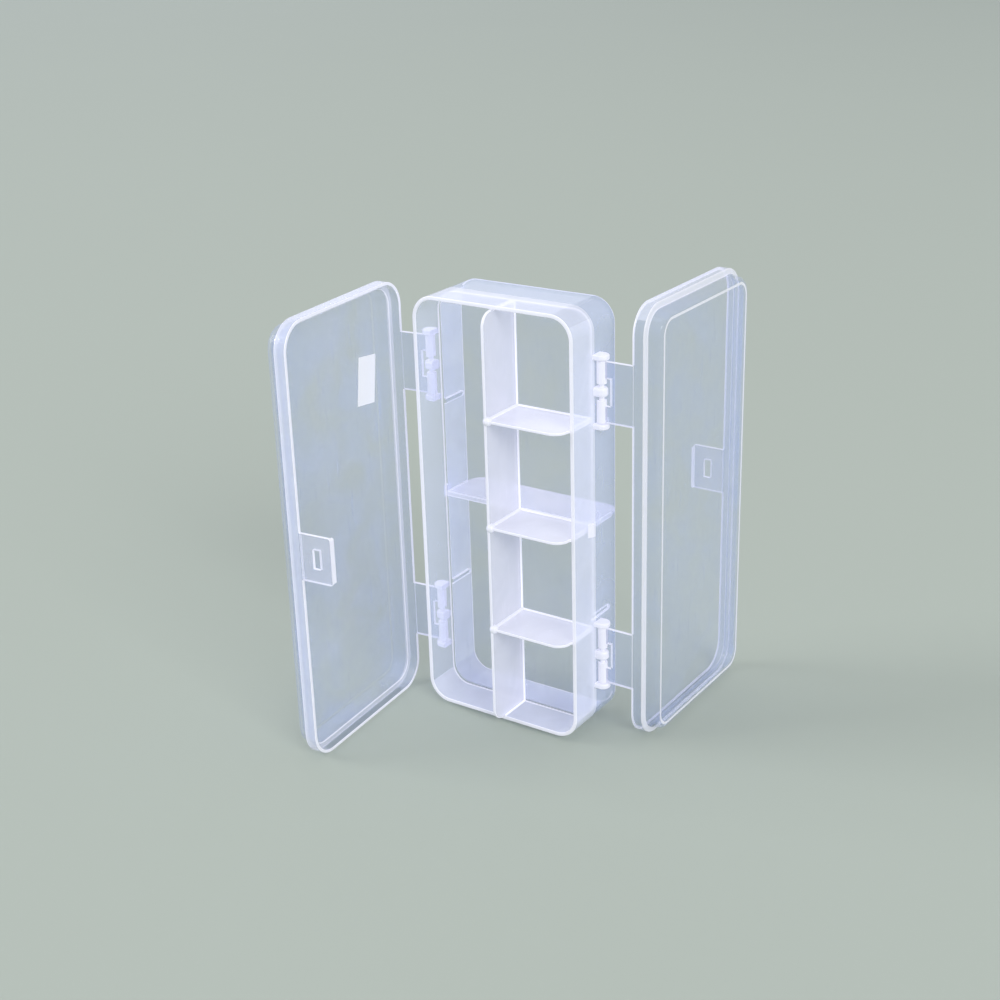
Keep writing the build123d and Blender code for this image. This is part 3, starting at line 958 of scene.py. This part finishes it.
def build_lid(name, back):
    """One lid with its skirt, ledge, raised panel, straps and knuckles, as one moulding."""
    finishes = plastics(
        "lid_panel_clear", "lid_skirt_clear", "rim_edge_bright", "hinge_milky",
        "soft_edge_hazy", "border_edge_bright", "skirt_outside_hazy",
    )
    section = lid_section()
    loops = []
    flap_stops = (MIDDLE_Z - FLAP_HEIGHT / 2, MIDDLE_Z + FLAP_HEIGHT / 2)
    for inset, depth, finish in section:
        radius = max(LID_CORNER_RADIUS - inset, LEAST_CORNER)
        loops.append(round_rectangle(LID_OUTER_X - inset, MIDDLE_Z - inset, radius, -depth, flap_stops))

    def rim(a, b):
        at_flap_side = min(a.x, b.x) > LID_INNER_X - 0.5
        under_flap = at_flap_side and abs((a.z + b.z) / 2 - MIDDLE_Z) < FLAP_HEIGHT / 2
        return LID_SKIRT if under_flap else LID_BRIGHT

    # A painted highlight along the panel's edge, on the lid's long sides only.
    def border(a, b):
        return LID_BORDER if abs(a.x) > LID_INNER_X - LID_BORDER_ZONE else LID_PANEL

    def at_hinge(a, b):
        return max(a.x, b.x) < LID_HINGE_ZONE - LID_INNER_X

    # The skirt's outside takes the hazy finish with painted glow, except beside the hinge.
    def outside(a, b):
        return LID_SKIRT if at_hinge(a, b) else LID_OUTSIDE

    def band(a, b):
        return LID_BRIGHT if at_hinge(a, b) else LID_OUTSIDE

    by_place = {LID_BRIGHT: rim, LID_BORDER: border, LID_OUTSIDE: outside, LID_BAND: band}
    kinds = [by_place.get(finish, finish) for inset, depth, finish in section[:-1]]
    lid = skin(name, loops, [LID_PANEL, *kinds, LID_PANEL], finishes)
    parts = []
    for z in HINGE_HEIGHTS:
        parts.append(strap_plate(z, finishes))
        parts.append(knuckle(z - STRAP_HEIGHT / 2, z - MIDDLE_GAP / 2, finishes))
        parts.append(knuckle(z + MIDDLE_GAP / 2, z + STRAP_HEIGHT / 2, finishes))
    cut_or_join(lid, parts, "UNION")
    even_shading(lid)
    body = "back_lid" if back else "front_lid"
    turn = opened(BACK_OPENING if back else FRONT_OPENING, back)
    finish_piece(lid, body, [body], turn)


def build_flap(name, back):
    """One latch flap: a plate with a framed window and a lip turned in at its end."""
    finishes = plastics("flap_hazy", "rim_edge_bright")
    end, root, corner = -FLAP_END_Y, -LID_RIM_Y, FLAP_CORNER
    low, high = MIDDLE_Z - FLAP_HEIGHT / 2, MIDDLE_Z + FLAP_HEIGHT / 2
    outline = [(root, low)] + arc((end - corner, low + corner), corner, -90, 0, 6)
    outline += arc((end - corner, high - corner), corner, 0, 90, 6) + [(root, high)]
    plate = extrusion(name, outline, "X", LID_INNER_X, LID_OUTER_X, finishes, FLAP_PLATE, FLAP_EDGE)
    inner, outer = end - LIP_DEPTH, end - 0.02
    lip_outline = [(inner, low + 0.3), (outer, low + 0.9), (outer, high - 0.9), (inner, high - 0.3)]
    lip = extrusion("lip", lip_outline, "X", WALL_X + 0.3, LID_OUTER_X - 0.4, finishes, FLAP_EDGE)
    cut_or_join(plate, [lip], "UNION")
    near = WINDOW_FROM_ROOT - FLAP_ROOT_Y
    far, half = near + WINDOW_LENGTH, WINDOW_HEIGHT / 2
    window_outline = [(y, MIDDLE_Z + z) for y, z in ((near, -half), (far, -half), (far, half), (near, half))]
    window = extrusion("window", window_outline, "X", LID_INNER_X - 2, LID_OUTER_X + 2, finishes, FLAP_EDGE)
    cut_or_join(plate, [window], "DIFFERENCE")
    round_edges(plate, sizes().moulded_edge, FLAP_EDGE)
    even_shading(plate)
    body = "back_latch" if back else "front_latch"
    turn = opened(BACK_OPENING if back else FRONT_OPENING, back)
    finish_piece(plate, body, [body + "_flap"], turn)


# Stage


def build_camera():
    """The camera at the photograph's angle, turned so that the photograph's middle is the frame's middle."""
    azimuth, elevation, roll = CAMERA_AZIMUTH, CAMERA_ELEVATION, CAMERA_ROLL
    back = Vector((
        math.sin(azimuth) * math.cos(elevation),
        -math.cos(azimuth) * math.cos(elevation),
        math.sin(elevation),
    ))
    right = (-back).cross(Vector((0, 0, 1))).normalized()
    up = right.cross(-back)
    rolled_right = math.cos(roll) * right + math.sin(roll) * up
    rolled_up = -math.sin(roll) * right + math.cos(roll) * up
    level = Matrix((rolled_right, rolled_up, back))
    across, down = (place - FRAME_PIXELS / 2 for place in CAMERA_CENTRE)
    aim = Vector((across / CAMERA_FOCUS, -down / CAMERA_FOCUS, -1.0)).normalized()
    turn = Vector((0, 0, -1)).rotation_difference(aim).to_matrix()
    axes = turn @ level
    camera = bpy.data.objects.new("photo_camera", bpy.data.cameras.new("photo_camera"))
    bpy.context.scene.collection.objects.link(camera)
    camera.data.sensor_width = SENSOR_WIDTH
    camera.data.sensor_fit = "HORIZONTAL"
    camera.data.lens = CAMERA_FOCUS * SENSOR_WIDTH / FRAME_PIXELS
    camera.data.clip_start = 0.01
    stand = Matrix.Translation(CAMERA_TARGET + back * CAMERA_DISTANCE)
    camera.matrix_world = stand @ axes.transposed().to_4x4()
    bpy.context.scene.camera = camera


def build_lamp(name, place, power, tint):
    """A soft square lamp aimed at the box."""
    data = bpy.data.lights.new(name, "AREA")
    data.shape = "SQUARE"
    data.size = LAMP_SIZE
    data.energy = power
    data.color = tint
    lamp = bpy.data.objects.new(name, data)
    bpy.context.scene.collection.objects.link(lamp)
    lamp.location = place
    lamp.rotation_euler = (LAMP_AIM - Vector(place)).to_track_quat("-Z", "Y").to_euler()


def build_world():
    """Even light from all round, with a plain pale background behind the floor."""
    world = bpy.data.worlds.new("studio_air")
    bpy.context.scene.world = world
    world.use_nodes = True
    nodes, links = world.node_tree.nodes, world.node_tree.links
    light = nodes["Background"]
    light.inputs["Color"].default_value = AIR_LIGHT
    light.inputs["Strength"].default_value = AIR_STRENGTH
    seen = nodes.new("ShaderNodeBackground")
    seen.inputs["Color"].default_value = (*colours().floor, 1.0)
    path = nodes.new("ShaderNodeLightPath")
    direct = nodes.new("ShaderNodeMath")
    direct.operation = "MAXIMUM"
    links.new(path.outputs["Is Camera Ray"], direct.inputs[0])
    links.new(path.outputs["Is Transmission Ray"], direct.inputs[1])
    switch = nodes.new("ShaderNodeMixShader")
    links.new(direct.outputs["Value"], switch.inputs["Fac"])
    links.new(light.outputs["Background"], switch.inputs[1])
    links.new(seen.outputs["Background"], switch.inputs[2])
    links.new(switch.outputs["Shader"], nodes["World Output"].inputs["Surface"])


def build_floor():
    """A wide plain floor under the box."""
    angles = [2 * math.pi * i / FLOOR_SIDES for i in range(FLOOR_SIDES)]
    points = [(FLOOR_RADIUS * math.cos(angle), FLOOR_RADIUS * math.sin(angle), 0.0) for angle in angles]
    mesh = bpy.data.meshes.new("floor")
    mesh.from_pydata(points, [], [tuple(range(FLOOR_SIDES))])
    mesh.materials.append(floor_finish())
    floor = bpy.data.objects.new("floor", mesh)
    bpy.context.scene.collection.objects.link(floor)


# Operators


class BuildBody(bpy.types.Operator):
    """Build the box body with its web and ribs"""

    bl_idname = "storage_box.body"
    bl_label = "Box Body"

    def execute(self, context):
        build_body()
        return {"FINISHED"}


class BuildDividers(bpy.types.Operator):
    """Build the tall divider, the shelves and the fillets at their feet"""

    bl_idname = "storage_box.dividers"
    bl_label = "Divider and Shelves"

    def execute(self, context):
        build_divider()
        for level, z in zip(("lower", "middle", "upper"), SHELF_HEIGHTS):
            build_front_shelf(f"front_{level}_shelf_plate", f"front_shelf_{level}", z)
        build_back_shelf()
        build_fillets()
        return {"FINISHED"}


class FinishHinges(bpy.types.Operator):
    """Give the hinge pins and the catches their milky plastic"""

    bl_idname = "storage_box.hinges"
    bl_label = "Hinge Pins and Catches"

    def execute(self, context):
        # The hinge plastic carries a painted glow.
        (milky,) = plastics("hinge_milky")
        for side in ("front", "back"):
            for piece in ("hinge_pin_lower", "hinge_pin_upper", "lid_catch"):
                repaint(f"{side}_{piece}", milky)
        return {"FINISHED"}


class BuildLids(bpy.types.Operator):
    """Build both lids with their straps and knuckles"""

    bl_idname = "storage_box.lids"
    bl_label = "Lids"

    def execute(self, context):
        build_lid("front_lid_moulding", back=False)
        build_lid("back_lid_moulding", back=True)
        return {"FINISHED"}


class BuildFlaps(bpy.types.Operator):
    """Build the latch flap of each lid"""

    bl_idname = "storage_box.flaps"
    bl_label = "Latch Flaps"

    def execute(self, context):
        build_flap("front_flap_moulding", back=False)
        build_flap("back_flap_moulding", back=True)
        return {"FINISHED"}


class FinishLabel(bpy.types.Operator):
    """Give the plain label its paper"""

    bl_idname = "storage_box.label"
    bl_label = "Label"

    def execute(self, context):
        repaint("front_lid_label", label_paper())
        return {"FINISHED"}


class BuildStage(bpy.types.Operator):
    """Set up the floor, the soft light and the camera"""

    bl_idname = "storage_box.stage"
    bl_label = "Stage"

    def execute(self, context):
        build_floor()
        build_world()
        for lamp in LAMPS:
            build_lamp(*lamp)
        build_camera()
        context.scene.view_settings.view_transform = "Standard"
        context.scene.cycles.transparent_max_bounces = 32
        return {"FINISHED"}


class StorageBoxPanel(bpy.types.Panel):
    bl_idname = "VIEW3D_PT_storage_box"
    bl_label = "Storage Box"
    bl_space_type = "VIEW_3D"
    bl_region_type = "UI"
    bl_category = "Storage Box"

    def draw(self, context):
        column = self.layout.column()
        for group in (context.scene.storage_box_sizes, context.scene.storage_box_colours):
            for prop in group.__annotations__:
                column.prop(group, prop)
        for operator in BUILDERS:
            column.operator(operator.bl_idname)


BUILDERS = (BuildStage, BuildBody, BuildDividers, FinishHinges, BuildLids, BuildFlaps, FinishLabel)
CLASSES = (BoxSizes, BoxColours, *BUILDERS, StorageBoxPanel)


def register():
    for item in CLASSES:
        bpy.utils.register_class(item)
    bpy.types.Scene.storage_box_sizes = PointerProperty(type=BoxSizes)
    bpy.types.Scene.storage_box_colours = PointerProperty(type=BoxColours)


def unregister():
    del bpy.types.Scene.storage_box_colours
    del bpy.types.Scene.storage_box_sizes
    for item in reversed(CLASSES):
        bpy.utils.unregister_class(item)


def main():
    register()
    bpy.ops.storage_box.stage()
    bpy.ops.storage_box.body()
    bpy.ops.storage_box.dividers()
    bpy.ops.storage_box.hinges()
    bpy.ops.storage_box.lids()
    bpy.ops.storage_box.flaps()
    bpy.ops.storage_box.label()


if __name__ == "__main__":
    main()
